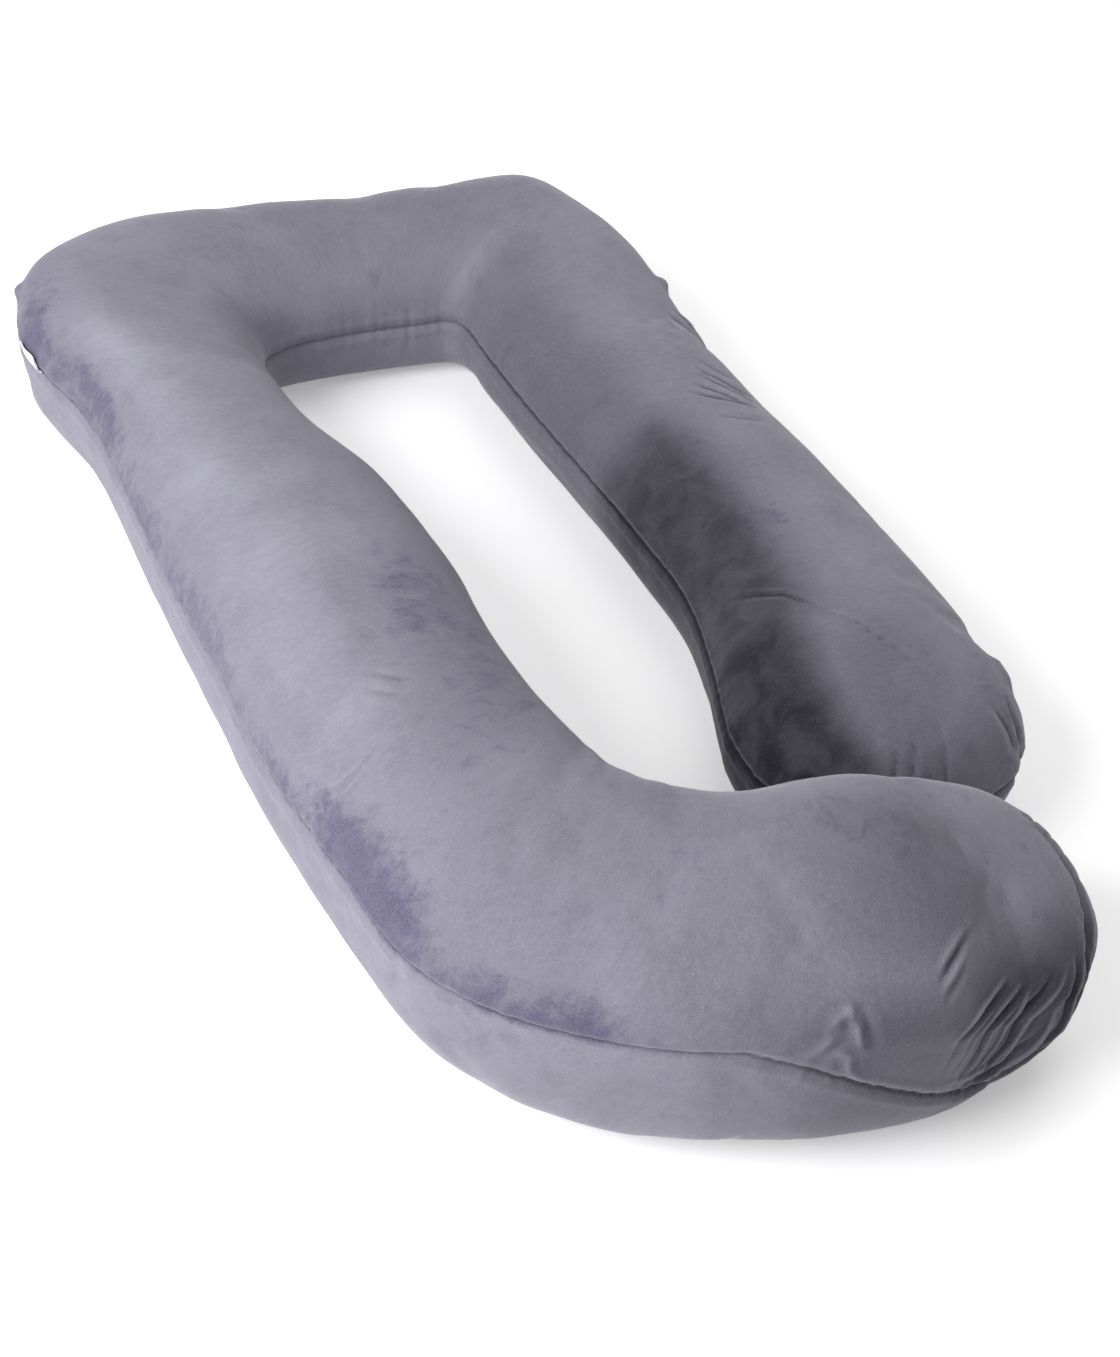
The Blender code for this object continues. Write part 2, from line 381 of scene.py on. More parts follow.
def coarse_places():
    """Places of the rings: even steps of outer edge, then crowding towards each tip."""
    fine = np.linspace(0, LAST, 2000)
    edge = skin(fine, 0)
    run = np.concatenate([[0], np.cumsum(np.linalg.norm(np.diff(edge, axis=0), axis=1))])
    count = int(run[-1] / RING_SPACING)
    body = np.interp(np.linspace(0, run[-1], count), run, fine)
    nose = 1 - (1 - np.arange(1, NOSE_RINGS) / NOSE_RINGS) ** NOSE_CROWDING
    return np.concatenate([-nose[::-1], body, LAST + nose])


def coarse_turns():
    """Turns of the columns, the same in each quarter and its mirror image."""
    quarter = np.array(QUARTER_TURN)
    half = np.concatenate([quarter, [90], 180 - quarter[:0:-1]])
    return np.concatenate([half, half + 180])


def twice_as_fine(values, wrap=None):
    """Values with one more in each gap. A wrap closes them into a ring."""
    ahead = np.append(values[1:], wrap) if wrap is not None else values[1:]
    out = np.empty(len(values) + len(ahead))
    out[0::2] = values
    out[1::2] = (values[:len(ahead)] + ahead) / 2
    return out


CREASED = ((-1.0, 1.3), (3.2, 5.4), (19.2, 20.3), (22.9, LAST + 1.0))
FINELY_CREASED = ((-0.35, 1.3), (3.5, 4.2), (19.7, 20.1), (23.1, 25.65))


def is_within(places, stretches):
    return np.any([(places >= low) & (places <= high) for low, high in stretches], axis=0)


PLACES, TURNS = coarse_places(), coarse_turns()
ALL_PLACES = twice_as_fine(twice_as_fine(twice_as_fine(PLACES)))
order = np.arange(len(ALL_PLACES))
KEPT = ((order % 4 == 0) | (is_within(ALL_PLACES, CREASED) & (order % 2 == 0))
        | is_within(ALL_PLACES, FINELY_CREASED))
FINE_PLACES = ALL_PLACES[KEPT]
FINE_TURNS = twice_as_fine(twice_as_fine(TURNS, 360.0), 360.0)
print("coarse grid", len(PLACES), "x", len(TURNS), "fine grid", len(FINE_PLACES), "x",
      len(FINE_TURNS))


def grid_points(places, turns):
    return skin(places[:, None], turns[None, :])


def tip_points():
    return skin(np.array([-1.0, LAST + 1.0]), np.array([90.0, 90.0]))


def soft_window(value, low, high, edge):
    """1 between low and high, fading to 0 over an edge on both sides."""
    rise = np.clip((value - low) / edge + 0.5, 0, 1)
    fall = np.clip((high - value) / edge + 0.5, 0, 1)
    return rise * rise * (3 - 2 * rise) * fall * fall * (3 - 2 * fall)


def blur_rows(grid, weight, passes):
    """The grid averaged along the tube, as strongly as the weight from 0 to 1 tells."""
    for _ in range(passes):
        longer = np.concatenate([grid[:1], grid, grid[-1:]])
        grid = grid + weight * ((longer[:-2] + longer[2:]) / 2 - grid) / 2
    return grid


# %% Settle the skin on the CAD node
node_low, node_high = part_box("pillow")
rough = grid_points(PLACES, TURNS).reshape(-1, 3)
SHIFT = (np.array(node_low + node_high) - rough.min(0) - rough.max(0)) / 2
SHIFT[2] = 0.0
print("shift to the CAD node", SHIFT.round(4))


def on_node(points):
    return points + SHIFT


# %% [markdown]
# ## Stuffing the cover
#
# A cover looks soft because fibre pushes it out everywhere while the seam holds it in.
# Blender's Cloth does that here: the grid is the cover, a pressure stands for the filling,
# and the strip that rests on the floor is pinned. Near the ends and at the bend behind the
# elbow the cover has more cloth than it needs, so it buckles there into small folds. The
# smooth part of the travel is taken off again, and only a share of the rest is kept, most
# of it where there is spare cloth: this pillow is stuffed firm, and its skin is nearly even.

# %% Build a tube mesh from a grid


def tube_mesh(name, grid, tips):
    """A closed mesh: quads between the rings, and a fan of triangles at each tip."""
    rings, columns = grid.shape[:2]
    index = np.arange(rings * columns).reshape(rings, columns)
    beside = np.roll(index, -1, 1)
    quads = np.stack([index[:-1], index[1:], beside[1:], beside[:-1]], -1).reshape(-1, 4)
    first, last = rings * columns, rings * columns + 1
    fan_a = np.stack([beside[0], np.full(columns, first), index[0]], -1)
    fan_b = np.stack([index[-1], np.full(columns, last), beside[-1]], -1)
    faces = quads.tolist() + fan_a.tolist() + fan_b.tolist()
    mesh = bpy.data.meshes.new(name)
    mesh.from_pydata(np.concatenate([grid.reshape(-1, 3), tips]).tolist(), [], faces)
    mesh.update()
    return mesh


# %% Simulate the filling
PRESSURE = 3.2
FRAMES = 22
TRAVEL_CAP = 0.005
FIRM_SHARE = 0.13
SPARE_CLOTH = -0.05
SEAM_TIGHTNESS = 0.03
REST_BAND = 0.004
DRIFT_PASSES = 40


def spare_cloth(place, turn):
    """How much spare cloth the cover has at a point, from 0 to 1."""
    ends = np.clip(1.3 - np.maximum(place, 0), 0, 1) + np.clip(place - LAST + 1.6, 0, 1)
    elbow = np.exp(-((place - 4.6) / 0.7) ** 2)
    curl = 0.5 * np.exp(-((place - 23.6) / 0.9) ** 2)
    return np.clip(ends + elbow + curl, 0, 1)


def stuff_cover(grid, tips):
    """The grid after the cloth simulation, as an array of the same shape."""
    cover = bpy.data.objects.new("cover_for_stuffing", tube_mesh("cover", grid, tips))
    bpy.context.collection.objects.link(cover)
    spare = spare_cloth(PLACES[:, None], TURNS[None, :]) * np.ones(grid.shape[:2])
    seam = (np.minimum(TURNS % 180, 180 - TURNS % 180) < 0.5)[None, :] * np.ones_like(spare)
    weight = np.clip(0.4 + 0.6 * spare - seam, 0, 1).ravel()
    loose = cover.vertex_groups.new(name="loose")
    rest = cover.vertex_groups.new(name="rest")
    for k, share in enumerate(weight):
        loose.add([k], float(share), "REPLACE")
    rest.add(np.flatnonzero(grid[..., 2].ravel() < REST_BAND).tolist(), 1.0, "REPLACE")
    cloth = cover.modifiers.new("cloth", "CLOTH")
    cloth.settings.quality = 6
    cloth.settings.mass = 0.25
    cloth.settings.tension_stiffness = 18
    cloth.settings.compression_stiffness = 18
    cloth.settings.shear_stiffness = 6
    cloth.settings.bending_stiffness = 0.35
    cloth.settings.air_damping = 2.0
    cloth.settings.use_pressure = True
    cloth.settings.uniform_pressure_force = PRESSURE
    cloth.settings.vertex_group_shrink = "loose"
    cloth.settings.shrink_min = SEAM_TIGHTNESS
    cloth.settings.shrink_max = SPARE_CLOTH
    cloth.settings.vertex_group_mass = "rest"
    cloth.settings.effector_weights.gravity = 0.0
    cloth.collision_settings.use_collision = False
    scene = bpy.context.scene
    for step in range(1, FRAMES + 1):
        scene.frame_set(step)
    depsgraph = bpy.context.evaluated_depsgraph_get()
    moved = np.empty(len(cover.data.vertices) * 3)
    cover.evaluated_get(depsgraph).data.vertices.foreach_get("co", moved)
    bpy.data.objects.remove(cover, do_unlink=True)
    scene.frame_set(1)
    return moved.reshape(-1, 3)[:grid.shape[0] * grid.shape[1]].reshape(grid.shape)


def without_drift(travel):
    """The travel less its smooth part."""
    smooth = travel
    for _ in range(DRIFT_PASSES):
        smooth = (2 * smooth + np.roll(smooth, 1, 1) + np.roll(smooth, -1, 1)) / 4
        longer = np.concatenate([smooth[:1], smooth, smooth[-1:]])
        smooth = (2 * smooth + longer[:-2] + longer[2:]) / 4
    return travel - smooth


coarse = on_node(grid_points(PLACES, TURNS))
travel = np.zeros_like(coarse)
travel = without_drift(stuff_cover(coarse, on_node(tip_points())) - coarse)
travel *= np.clip(coarse[..., 2:] / 0.03, 0, 1)
spare = spare_cloth(PLACES[:, None], TURNS[None, :]) * np.ones(coarse.shape[:2])
travel *= (FIRM_SHARE * (1 + 1.6 * spare))[..., None]
taut = (soft_window(PLACES, 23.4, 25.6, 0.5)[:, None]
        * soft_window((TURNS + 90) % 360, 40, 150, 40)[None, :])
travel *= (1 - 0.8 * taut)[..., None]
length = np.linalg.norm(travel, axis=2, keepdims=True)
print("stuffing buckled the cover by up to", round(float(length.max()) * 1000, 1), "mm")
travel *= TRAVEL_CAP * np.tanh(length / TRAVEL_CAP) / np.maximum(length, 1e-9)

# %% [markdown]
# ## From the coarse grid to the fine one
#
# The travel of each coarse point is spread over the fine grid with a smooth curve, so the
# simulated folds stay round. It fades out at the two tips. Above the toes the smooth skin
# turns a sharp corner on its inner side, and it is rounded off there.

# %% Spread the travel over the fine grid


def smooth_gaps(grid, closed):
    """The grid with one more row in each gap, on a cubic curve through the rows."""
    if closed:
        a, c, d = np.roll(grid, 1, 0), np.roll(grid, -1, 0), np.roll(grid, -2, 0)
        gaps = (9 * (grid + c) - a - d) / 16
        out = np.empty((2 * len(grid), *grid.shape[1:]))
    else:
        long = np.concatenate([grid[:1], grid, grid[-1:]])
        gaps = (9 * (long[1:-2] + long[2:-1]) - long[:-3] - long[3:]) / 16
        out = np.empty((2 * len(grid) - 1, *grid.shape[1:]))
    out[0::2] = grid
    out[1::2] = gaps
    return out


def spread(travel):
    for _ in range(2):
        travel = smooth_gaps(travel.swapaxes(0, 1), closed=True).swapaxes(0, 1)
    for _ in range(3):
        travel = smooth_gaps(travel, closed=False)
    return travel[KEPT]


tip_fade = np.clip((1 - np.abs(FINE_PLACES - np.clip(FINE_PLACES, 0, LAST))) / 0.15, 0, 1)
near_toes = (soft_window(FINE_PLACES, 24.75, 25.22, 0.3)[:, None]
             * soft_window(FINE_TURNS, 66, 165, 34)[None, :])
ideal = blur_rows(on_node(grid_points(FINE_PLACES, FINE_TURNS)), near_toes[..., None], 320)
above_seam = (soft_window(FINE_PLACES, 23.2, 25.15, 0.3)[:, None]
              * soft_window((FINE_TURNS + 90) % 360, 78, 100, 12)[None, :])
for _ in range(90):
    beside = (np.roll(ideal, 1, axis=1) + np.roll(ideal, -1, axis=1)) / 2
    ideal = ideal + above_seam[..., None] * (beside - ideal) / 2
cover = ideal + spread(travel) * tip_fade[:, None, None]
print("fine cover", cover.shape[0] * cover.shape[1], "points")

# %% [markdown]
# ## Seam, gathers and creases
#
# Small forms that a coarse simulation can't hold are pressed into the fine grid by
# formula. Each is measured on the smooth skin, in metres, and moves the cloth along its
# normal. The seam is a narrow valley with two soft lips, as where two panels are sewn
# together from the inside. Beside it the cloth puckers a little at every few stitches.

# %% Where the seam runs
OUTER_SEAM = ((-1.0, 0), (22.9, 0), (23.2, -1), (23.5, -3.5), (23.8, -7.5), (24.13, -12.5),
              (24.5, -17.5), (24.8, -20), (25.0, -20), (25.12, -17), (25.2, -12.5), (25.27, -8),
              (25.33, -4))
TIP_SEAM = ((25.37, 0), (25.40, 6), (25.42, 22), (25.49, 40), (25.54, 62), (25.52, 90),
            (25.46, 118), (25.36, 145), (25.23, 168), (25.10, 180))
SEAM_STEP = 0.0012


def outer_seam_turn(places):
    stops, turns = np.array(OUTER_SEAM).T
    return np.interp(places, stops, turns)


def even_line(places, turns, step):
    """Points on the smooth skin along a path of places and turns, an even step apart."""
    share = np.linspace(0, len(places) - 1, 1500)
    stops = np.arange(len(places))
    line = on_node(skin(np.interp(share, stops, places), np.interp(share, stops, turns)))
    run = np.concatenate([[0], np.cumsum(np.linalg.norm(np.diff(line, axis=0), axis=1))])
    even = np.arange(0, run[-1], step)
    return np.stack([np.interp(even, run, line[:, k]) for k in range(3)], 1)


def seam_line(step):
    """The seam in one piece: along the outer edge to the curl, where it dips, over the
    curl's end, back along the inner edge and round the end of the back arm."""
    tip_places, tip_turns = np.array(TIP_SEAM).T
    outer = np.linspace(-1, OUTER_SEAM[-1][0], 300)
    inner = np.linspace(tip_places[-1], -1, 300)
    places = np.concatenate([outer, tip_places[:-1], inner])
    turns = np.concatenate([outer_seam_turn(outer), tip_turns[:-1], 0 * inner + 180])
    return np.concatenate([even_line(places[k:k + 40], turns[k:k + 40], step)
                           for k in range(0, len(places) - 1, 39)])


SEAM = seam_line(SEAM_STEP)
print("seam", round(len(SEAM) * SEAM_STEP, 2), "m long")

# %% Measure the cloth
Measures = namedtuple("Measures", "along round girth gap run")


def measure(grid):
    """Metres along the tube, metres round it, its girth, the signed gap to the nearest
    seam, positive on the upper panel, and how far along the seam that is."""
    middle = (grid[:, 0] + grid[:, grid.shape[1] // 2]) / 2
    steps = np.linalg.norm(np.diff(middle, axis=0), axis=1)
    along = np.concatenate([[0], np.cumsum(steps)])
    hops = np.linalg.norm(np.roll(grid, -1, 1) - grid, axis=2)
    run = np.concatenate([np.zeros((len(grid), 1)), np.cumsum(hops, 1)], 1)
    tree = kdtree.KDTree(len(SEAM))
    for k, point in enumerate(SEAM):
        tree.insert(point, k)
    tree.balance()
    found = [tree.find(point) for point in grid.reshape(-1, 3)]
    gap = np.array([hit[2] for hit in found]).reshape(grid.shape[:2])
    at = np.array([hit[1] for hit in found]).reshape(grid.shape[:2]) * SEAM_STEP
    tip_places, tip_turns = np.array(TIP_SEAM).T
    signed = np.where(FINE_TURNS > 270, FINE_TURNS - 360, FINE_TURNS)
    end_panel = FINE_PLACES[:, None] > np.interp(signed, tip_turns, tip_places)[None, :]
    below = signed[None, :] < outer_seam_turn(FINE_PLACES)[:, None]
    lower = below | (signed > 180)[None, :] | end_panel
    return Measures(along, run[:, :-1], run[:, -1], np.where(lower, -gap, gap), at)


cloth = measure(ideal)
print("tube", round(float(cloth.along[-1]), 2), "m long, girth up to",
      round(float(cloth.girth.max()), 2), "m")


def normals_of(grid):
    """Outward unit normals of the grid."""
    down = np.gradient(grid, axis=0)
    turn = np.roll(grid, -1, 1) - np.roll(grid, 1, 1)
    out = np.cross(down, turn)
    out /= np.maximum(np.linalg.norm(out, axis=2, keepdims=True), 1e-12)
    return out


# %% Sew the seam
SEAM_DEPTH = 0.0046
SEAM_WIDTH = 0.0045
LIP_HEIGHT = 0.0012
LIP_PLACE = 0.011
PUCKER_DEPTH = 0.0011
PUCKER_REACH = 0.020
PUCKER_WAVES = ((0.0131, 0.4), (0.0197, 1.7), (0.0312, 4.1))

seam_gap = np.abs(cloth.gap)


def waves(run, sizes):
    """An uneven ripple from -1 to 1, from a few sine waves of given (length, phase)."""
    return sum(np.sin(2 * math.pi * run / size + phase) for size, phase in sizes) / len(sizes)


on_floor = np.clip(1 - ideal[..., 2] / 0.03, 0, 1)
at_tip = np.clip((FINE_PLACES - 24.5) / 0.6, 0, 1)[:, None]
valley = -SEAM_DEPTH * (1 + 1.6 * at_tip) * np.exp(-seam_gap / (SEAM_WIDTH * (1 + 0.7 * at_tip)))
lips = LIP_HEIGHT * np.exp(-((seam_gap - LIP_PLACE) / (LIP_PLACE / 2)) ** 2)
puckers = (PUCKER_DEPTH * waves(cloth.run, PUCKER_WAVES) * np.exp(-seam_gap / PUCKER_REACH)
           * (0.4 + 0.6 * (0.5 + 0.5 * waves(cloth.run, ((0.31, 0.2), (0.53, 2.2), (0.9, 1.0))))))
relief = valley + lips + puckers
folds = puckers.copy()

# %% [markdown]
# The filling is fibre, so the skin is never quite even: it has wide, shallow lumps, and
# near the curl's end it is packed tighter in some places than in others. Where
# the cover closes round an end it is gathered on the seam, with pleats that fan out from
# the middle of the nose. Each single crease is a row of a table: it runs from one
# (place, turn) to another, so wide, so deep.

# %% Lumps and gathered ends
LUMP_HEIGHT = 0.0024
LUMP_SIZE = 0.13


def lumps(points, size, seed):
    """Smooth noise from about -1 to 1 at the points."""
    start = Vector((seed, 2.3 * seed, -1.7 * seed))
    flat = [noise.noise(Vector(p) / size + start) for p in points.reshape(-1, 3)]
    return np.array(flat).reshape(points.shape[:-1])


relief += LUMP_HEIGHT * lumps(ideal, LUMP_SIZE, 3.1) * (1 - on_floor)
relief += 0.45 * LUMP_HEIGHT * lumps(ideal, LUMP_SIZE / 2.6, 8.4) * (1 - on_floor)

Bulge = namedtuple("Bulge", "name place turn radius height")
BULGES = [
    Bulge("slack at the sole", 24.02, 122, 0.050, -0.0070),
    Bulge("packed toes", 24.95, 133, 0.034, 0.0090),
    Bulge("packed end", 25.22, -5, 0.046, 0.0100),
    Bulge("packed under the end", 24.75, -28, 0.042, 0.0075),
]
for bulge in BULGES:
    centre = on_node(skin(np.array([bulge.place]), np.array([bulge.turn])))[0]
    away = np.linalg.norm(ideal - centre, axis=2) / bulge.radius
    relief += bulge.height * np.exp(-away ** 2)

Gather = namedtuple("Gather", "end depth reach start pleats phase")
GATHERS = [
    Gather(0, 0.0030, 0.085, 0.030, 27, 0.9),
    Gather(LAST, 0.0024, 0.070, 0.060, 23, 1.1),
]


def gather_end(gather):
    """Narrow pleats that cross the seam all round one nose, deepest on the seam."""
    rows = RIB_ROWS[gather.end]
    way = END_WAYS[0 if gather.end == 0 else 1]
    centre = (rows[0:2] + rows[2:4]) / 2 + SHIFT[:2]
    across = (rows[0:2] - rows[2:4]) / np.linalg.norm(rows[0:2] - rows[2:4])
    flat = ideal[..., :2] - centre
    ahead, aside = flat @ way, flat @ across
    fan = np.arctan2(aside, ahead)
    uneven = fan + 0.16 * np.sin(3.1 * fan + gather.phase) + 0.06 * np.sin(7.7 * fan)
    valley = np.exp(-(np.sin(gather.pleats / 2 * uneven + gather.phase) / 0.36) ** 2)
    sized = 0.6 + 0.4 * np.sin(5.3 * fan + 2.0 * gather.phase)
    on_nose = np.clip((ahead - gather.start) / 0.05, 0, 1)
    near = np.exp(-(seam_gap / gather.reach) ** 2)
    return gather.depth * (0.3 - 1.3 * valley) * sized * on_nose * near


nose_like = np.where(np.abs(FINE_PLACES - LAST / 2) > LAST / 2 - 1.5, 1.0, 0.0)[:, None]
for gather in GATHERS:
    side = (FINE_PLACES < LAST / 2) if gather.end == 0 else (FINE_PLACES > LAST / 2)
    folds += gather_end(gather) * side[:, None] * nose_like
print("gathered", len(GATHERS), "ends")

# %% Creases
Crease = namedtuple("Crease", "name width depth path")
CREASES = [
    Crease("elbow streak 1", 0.0045, 0.0036, ((5.15, 46), (5.03, 41), (4.90, 36))),
    Crease("elbow streak 2", 0.0050, -0.0032, ((4.97, 60), (4.78, 55), (4.52, 49))),
    Crease("elbow streak 3", 0.0050, -0.0026, ((5.22, 36), (5.00, 35), (4.70, 34))),
    Crease("elbow streak 4", 0.0050, 0.0030, ((5.06, 58), (4.82, 50), (4.52, 42))),
    Crease("elbow fan 1", 0.0042, 0.0036, ((4.10, 76), (3.95, 67), (3.80, 58), (3.66, 50))),
    Crease("elbow fan 2", 0.0042, 0.0032, ((4.00, 78), (3.86, 70), (3.72, 61), (3.58, 52))),
    Crease("elbow fan 3", 0.0042, 0.0044, ((3.86, 84), (3.72, 76), (3.63, 69), (3.50, 60))),
    Crease("elbow fan 4", 0.0040, 0.0040, ((3.76, 90), (3.63, 80), (3.54, 69), (3.46, 56))),
    Crease("elbow fan 6", 0.0030, 0.0020, ((4.24, 70), (4.10, 62), (3.96, 54))),
    Crease("elbow fan 7", 0.0030, 0.0018, ((3.92, 62), (3.80, 55), (3.68, 46))),
    Crease("elbow fan 5", 0.0055, 0.0018, ((3.40, 92), (3.27, 77), (3.20, 62))),
    Crease("elbow under 1", 0.0060, 0.0022, ((4.80, 352), (4.70, 336), (4.62, 318))),
    Crease("elbow under 2", 0.0060, 0.0018, ((4.35, 354), (4.20, 338), (4.08, 322))),
    Crease("seat line", 0.0032, 0.0032, ((1.34, 150), (1.04, 125), (0.95, 117), (0.62, 103))),
    Crease("seat line fading", 0.0028, 0.0020, ((0.72, 108), (0.35, 94), (0.0, 88), (-0.22, 77))),
    Crease("arm end ridge 1", 0.0030, -0.0018, ((-0.33, 56), (-0.42, 47), (-0.53, 32), (-0.50, 8))),
    Crease("arm end fold 1", 0.0030, 0.0026, ((-0.28, 55), (-0.37, 47), (-0.47, 32), (-0.44, 5))),
    Crease("arm end fold 2", 0.0034, 0.0024, ((-0.18, 44), (-0.30, 38), (-0.40, 22), (-0.38, 4))),
    Crease("knee line 1", 0.0026, -0.0019, ((19.78, 20), (19.93, 36), (19.97, 47), (19.95, 60))),
    Crease("knee line 2", 0.0026, -0.0015, ((19.92, 23), (20.02, 38), (20.04, 48))),
    Crease("thigh line 1", 0.0038, 0.0020, ((19.38, 75), (19.53, 82), (19.62, 88))),
    Crease("thigh line 2", 0.0038, 0.0016, ((19.50, 71), (19.64, 77), (19.72, 82))),
    Crease("heel ridge 1", 0.0042, -0.0013, ((23.26, 18), (23.33, 24), (23.39, 29), (23.48, 32))),
    Crease("heel fold 1", 0.0046, 0.0014, ((23.31, 14), (23.39, 21), (23.48, 26))),
    Crease("heel ridge 2", 0.0042, -0.0015, ((23.39, 35), (23.46, 20), (23.50, 2))),
    Crease("heel fold 2", 0.0052, 0.0016, ((23.47, 36), (23.53, 18), (23.58, 2))),
    Crease("heel ridge 3", 0.0042, -0.0012, ((23.14, -6), (23.27, 8), (23.38, 23))),
    Crease("heel fold 3", 0.0046, 0.0012, ((23.26, -3), (23.36, 9), (23.45, 20))),
    Crease("heel ridge 4", 0.0038, -0.0015, ((23.32, 4), (23.46, -1), (23.60, -4))),
    Crease("sole ridge 1", 0.0028, -0.0017, ((24.03, 42), (24.10, 48), (24.27, 55), (24.60, 62))),
    Crease("sole fold", 0.0036, 0.0020, ((24.02, 38), (24.12, 44.5), (24.26, 50.5), (24.46, 57))),
    Crease("sole ridge 2", 0.0028, -0.0016, ((24.03, 33), (24.09, 38), (24.20, 44), (24.38, 52))),
    Crease("sole fold low", 0.0036, 0.0014, ((24.04, 28), (24.14, 35), (24.30, 43))),
    Crease("toe ridge 1", 0.0026, -0.0020, ((24.08, -3), (24.28, 10), (24.45, 21), (24.61, 27), (24.84, 34))),
    Crease("toe fold 1", 0.0034, 0.0034, ((24.16, -4), (24.35, 8), (24.46, 15), (24.62, 21), (24.78, 27))),
    Crease("toe ridge 2", 0.0026, -0.0020, ((24.26, -9), (24.46, 3), (24.54, 8), (24.65, 14), (24.94, 26))),
    Crease("toe fold 2", 0.0038, 0.0042, ((24.38, -10), (24.58, 2), (24.72, 9), (24.84, 14), (24.98, 22))),
    Crease("toe ridge 3", 0.0028, -0.0022, ((24.50, -13), (24.75, -2), (24.83, 2), (24.92, 8), (25.05, 24))),
    Crease("toe fold 3", 0.0038, 0.0042, ((24.64, -14), (24.90, -2), (24.98, 5), (25.06, 13), (25.14, 26))),
    Crease("toe ridge 4", 0.0028, -0.0022, ((24.80, -13), (24.96, -5), (25.06, 3), (25.15, 13), (25.22, 28))),
    Crease("side ridge 1", 0.0028, -0.0022, ((24.18, -8), (24.52, -10), (24.78, -9), (24.96, -3))),
    Crease("side fold 1", 0.0044, 0.0036, ((24.40, -13), (24.72, -14), (24.95, -10), (25.10, -1))),
    Crease("side ridge 2", 0.0028, -0.0024, ((24.66, -17), (24.97, -15), (25.08, -8), (25.16, 3))),
    Crease("side fold 2", 0.0050, 0.0050, ((24.88, -18), (25.05, -15), (25.14, -8), (25.22, 4))),
    Crease("side fold 3", 0.0046, 0.0040, ((25.15, -11), (25.22, -2), (25.25, 4), (25.28, 14), (25.27, 30))),
    Crease("side ridge 3", 0.0028, -0.0022, ((25.16, -12), (25.24, -3), (25.32, 8), (25.34, 30))),
]
CREASE_STEPS = 36


def press_crease(crease):
    """A valley with a soft ridge on each side, or a ridge where the depth is negative.
    It fades out at both ends."""
    places, turns = np.array(crease.path).T
    turns = np.where(turns - turns[0] > 180, turns - 360, turns)
    turns = np.where(turns - turns[0] < -180, turns + 360, turns)
    share = np.linspace(0, len(places) - 1, CREASE_STEPS)
    stops = np.arange(len(places))
    line = on_node(skin(np.interp(share, stops, places), np.interp(share, stops, turns)))
    low, high = line.min(0) - 4 * crease.width, line.max(0) + 4 * crease.width
    near = np.all((ideal > low) & (ideal < high), axis=2)
    points = ideal[near]
    best = np.full(len(points), 1e9)
    where = np.zeros(len(points))
    for k in range(CREASE_STEPS - 1):
        start, step = line[k], line[k + 1] - line[k]
        t = np.clip((points - start) @ step / (step @ step), 0, 1)
        distance = np.linalg.norm(points - start - t[:, None] * step, axis=1)
        closer = distance < best
        best[closer] = distance[closer]
        where[closer] = (k + t[closer]) / (CREASE_STEPS - 1)
    fade = np.sin(math.pi * np.clip(where, 0, 1)) ** 0.7
    x = best / crease.width
    folds[near] += crease.depth * fade * (0.30 * np.exp(-((x - 1.9) / 0.9) ** 2)
                                          - np.exp(-x ** 2))


for crease in CREASES:
    press_crease(crease)
relief += folds - puckers
print(len(CREASES), "creases")

# %% [markdown]
# At three places the seam ends in a small nub of cloth, where the maker starts and stops
# the machine: at each head corner and at the corner of the back arm. It is pinched out of
# the seam like the corner of a dumpling.

# %% Nubs on the seam
Nub = namedtuple("Nub", "name place turn length width height")
NUBS = [
    Nub("left corner nub", 13.30, 12, 0.011, 0.007, 0.0065),
    Nub("right shoulder nub", 5.74, 30, 0.011, 0.007, 0.0070),
    Nub("back arm nub", -0.02, 28, 0.022, 0.009, 0.0055),
]


def pinch_nub(nub):
    """A small ridge that stands up along the seam."""
    centre = on_node(skin(np.array([nub.place]), np.array([nub.turn])))[0]
    before, after = on_node(skin(nub.place + np.array([-0.05, 0.05]), nub.turn))
    way = (after - before) / np.linalg.norm(after - before)
    offset = ideal - centre
    along = offset @ way
    aside = np.linalg.norm(offset - along[..., None] * way, axis=2)
    return nub.height * np.exp(-(along / nub.length) ** 4 - (aside / nub.width) ** 2)


for nub in NUBS:
    relief += pinch_nub(nub)

relief *= tip_fade[:, None]
cover = cover + normals_of(cover) * (relief * (1 - 0.85 * on_floor))[..., None]
cover[..., 2] = np.maximum(cover[..., 2], 0.0)
print("relief from", round(float(relief.min()) * 1000, 1), "to",
      round(float(relief.max()) * 1000, 1), "mm")

# %% [markdown]
# ## The pillow's mesh
#
# The finished grid becomes one closed mesh. Its UV map is the cloth itself, in metres:
# along the tube and round it. Four attributes tell the velvet where it is: the gap to
# the seam, how far its pile is brushed the dark way together with painted shade and painted
# highlights, how much painted shade it carries, and how deep in a fold it lies.

# %% Pile direction, painted shade and painted highlights over the cloth
Patch = namedtuple("Patch", "name place to_place turn to_turn soft strength")
# Dark patches: pile brushed the dark way along the seam, plus painted shade in the inner back arm, inner
# belly, beside-the-knee and curl-top patches.
DARK_NAP_AND_SHADE_PATCHES = [
    Patch("corner band", 12.9, 14.5, -30, 44, 40, 0.60),
    Patch("cheek band", 13.6, 16.0, -30, 44, 44, 0.80),
    Patch("chest band", 15.8, 18.4, -30, 24, 34, 0.72),
    Patch("hip band", 18.0, 19.9, -30, 18, 30, 0.62),
    Patch("knee band", 19.9, 21.0, -30, 34, 40, 1.00),
    Patch("shin band", 20.6, 22.3, -30, 22, 34, 0.86),
    Patch("foot band", 22.0, 23.0, -30, 10, 22, 0.50),
    Patch("inner belly", 16.4, 19.0, 128, 200, 60, 0.36),
    Patch("beside the knee", 18.3, 20.4, 78, 130, 36, 0.50),
    Patch("inner back arm", 1.6, 4.6, 104, 200, 44, 0.30),
    Patch("arm end", -1.2, 0.2, -60, 120, 60, 0.22),
    Patch("curl top", 23.4, 25.0, 60, 200, 60, 0.22),
    Patch("heel patch", 22.9, 23.8, -20, 26, 30, 0.45),
]
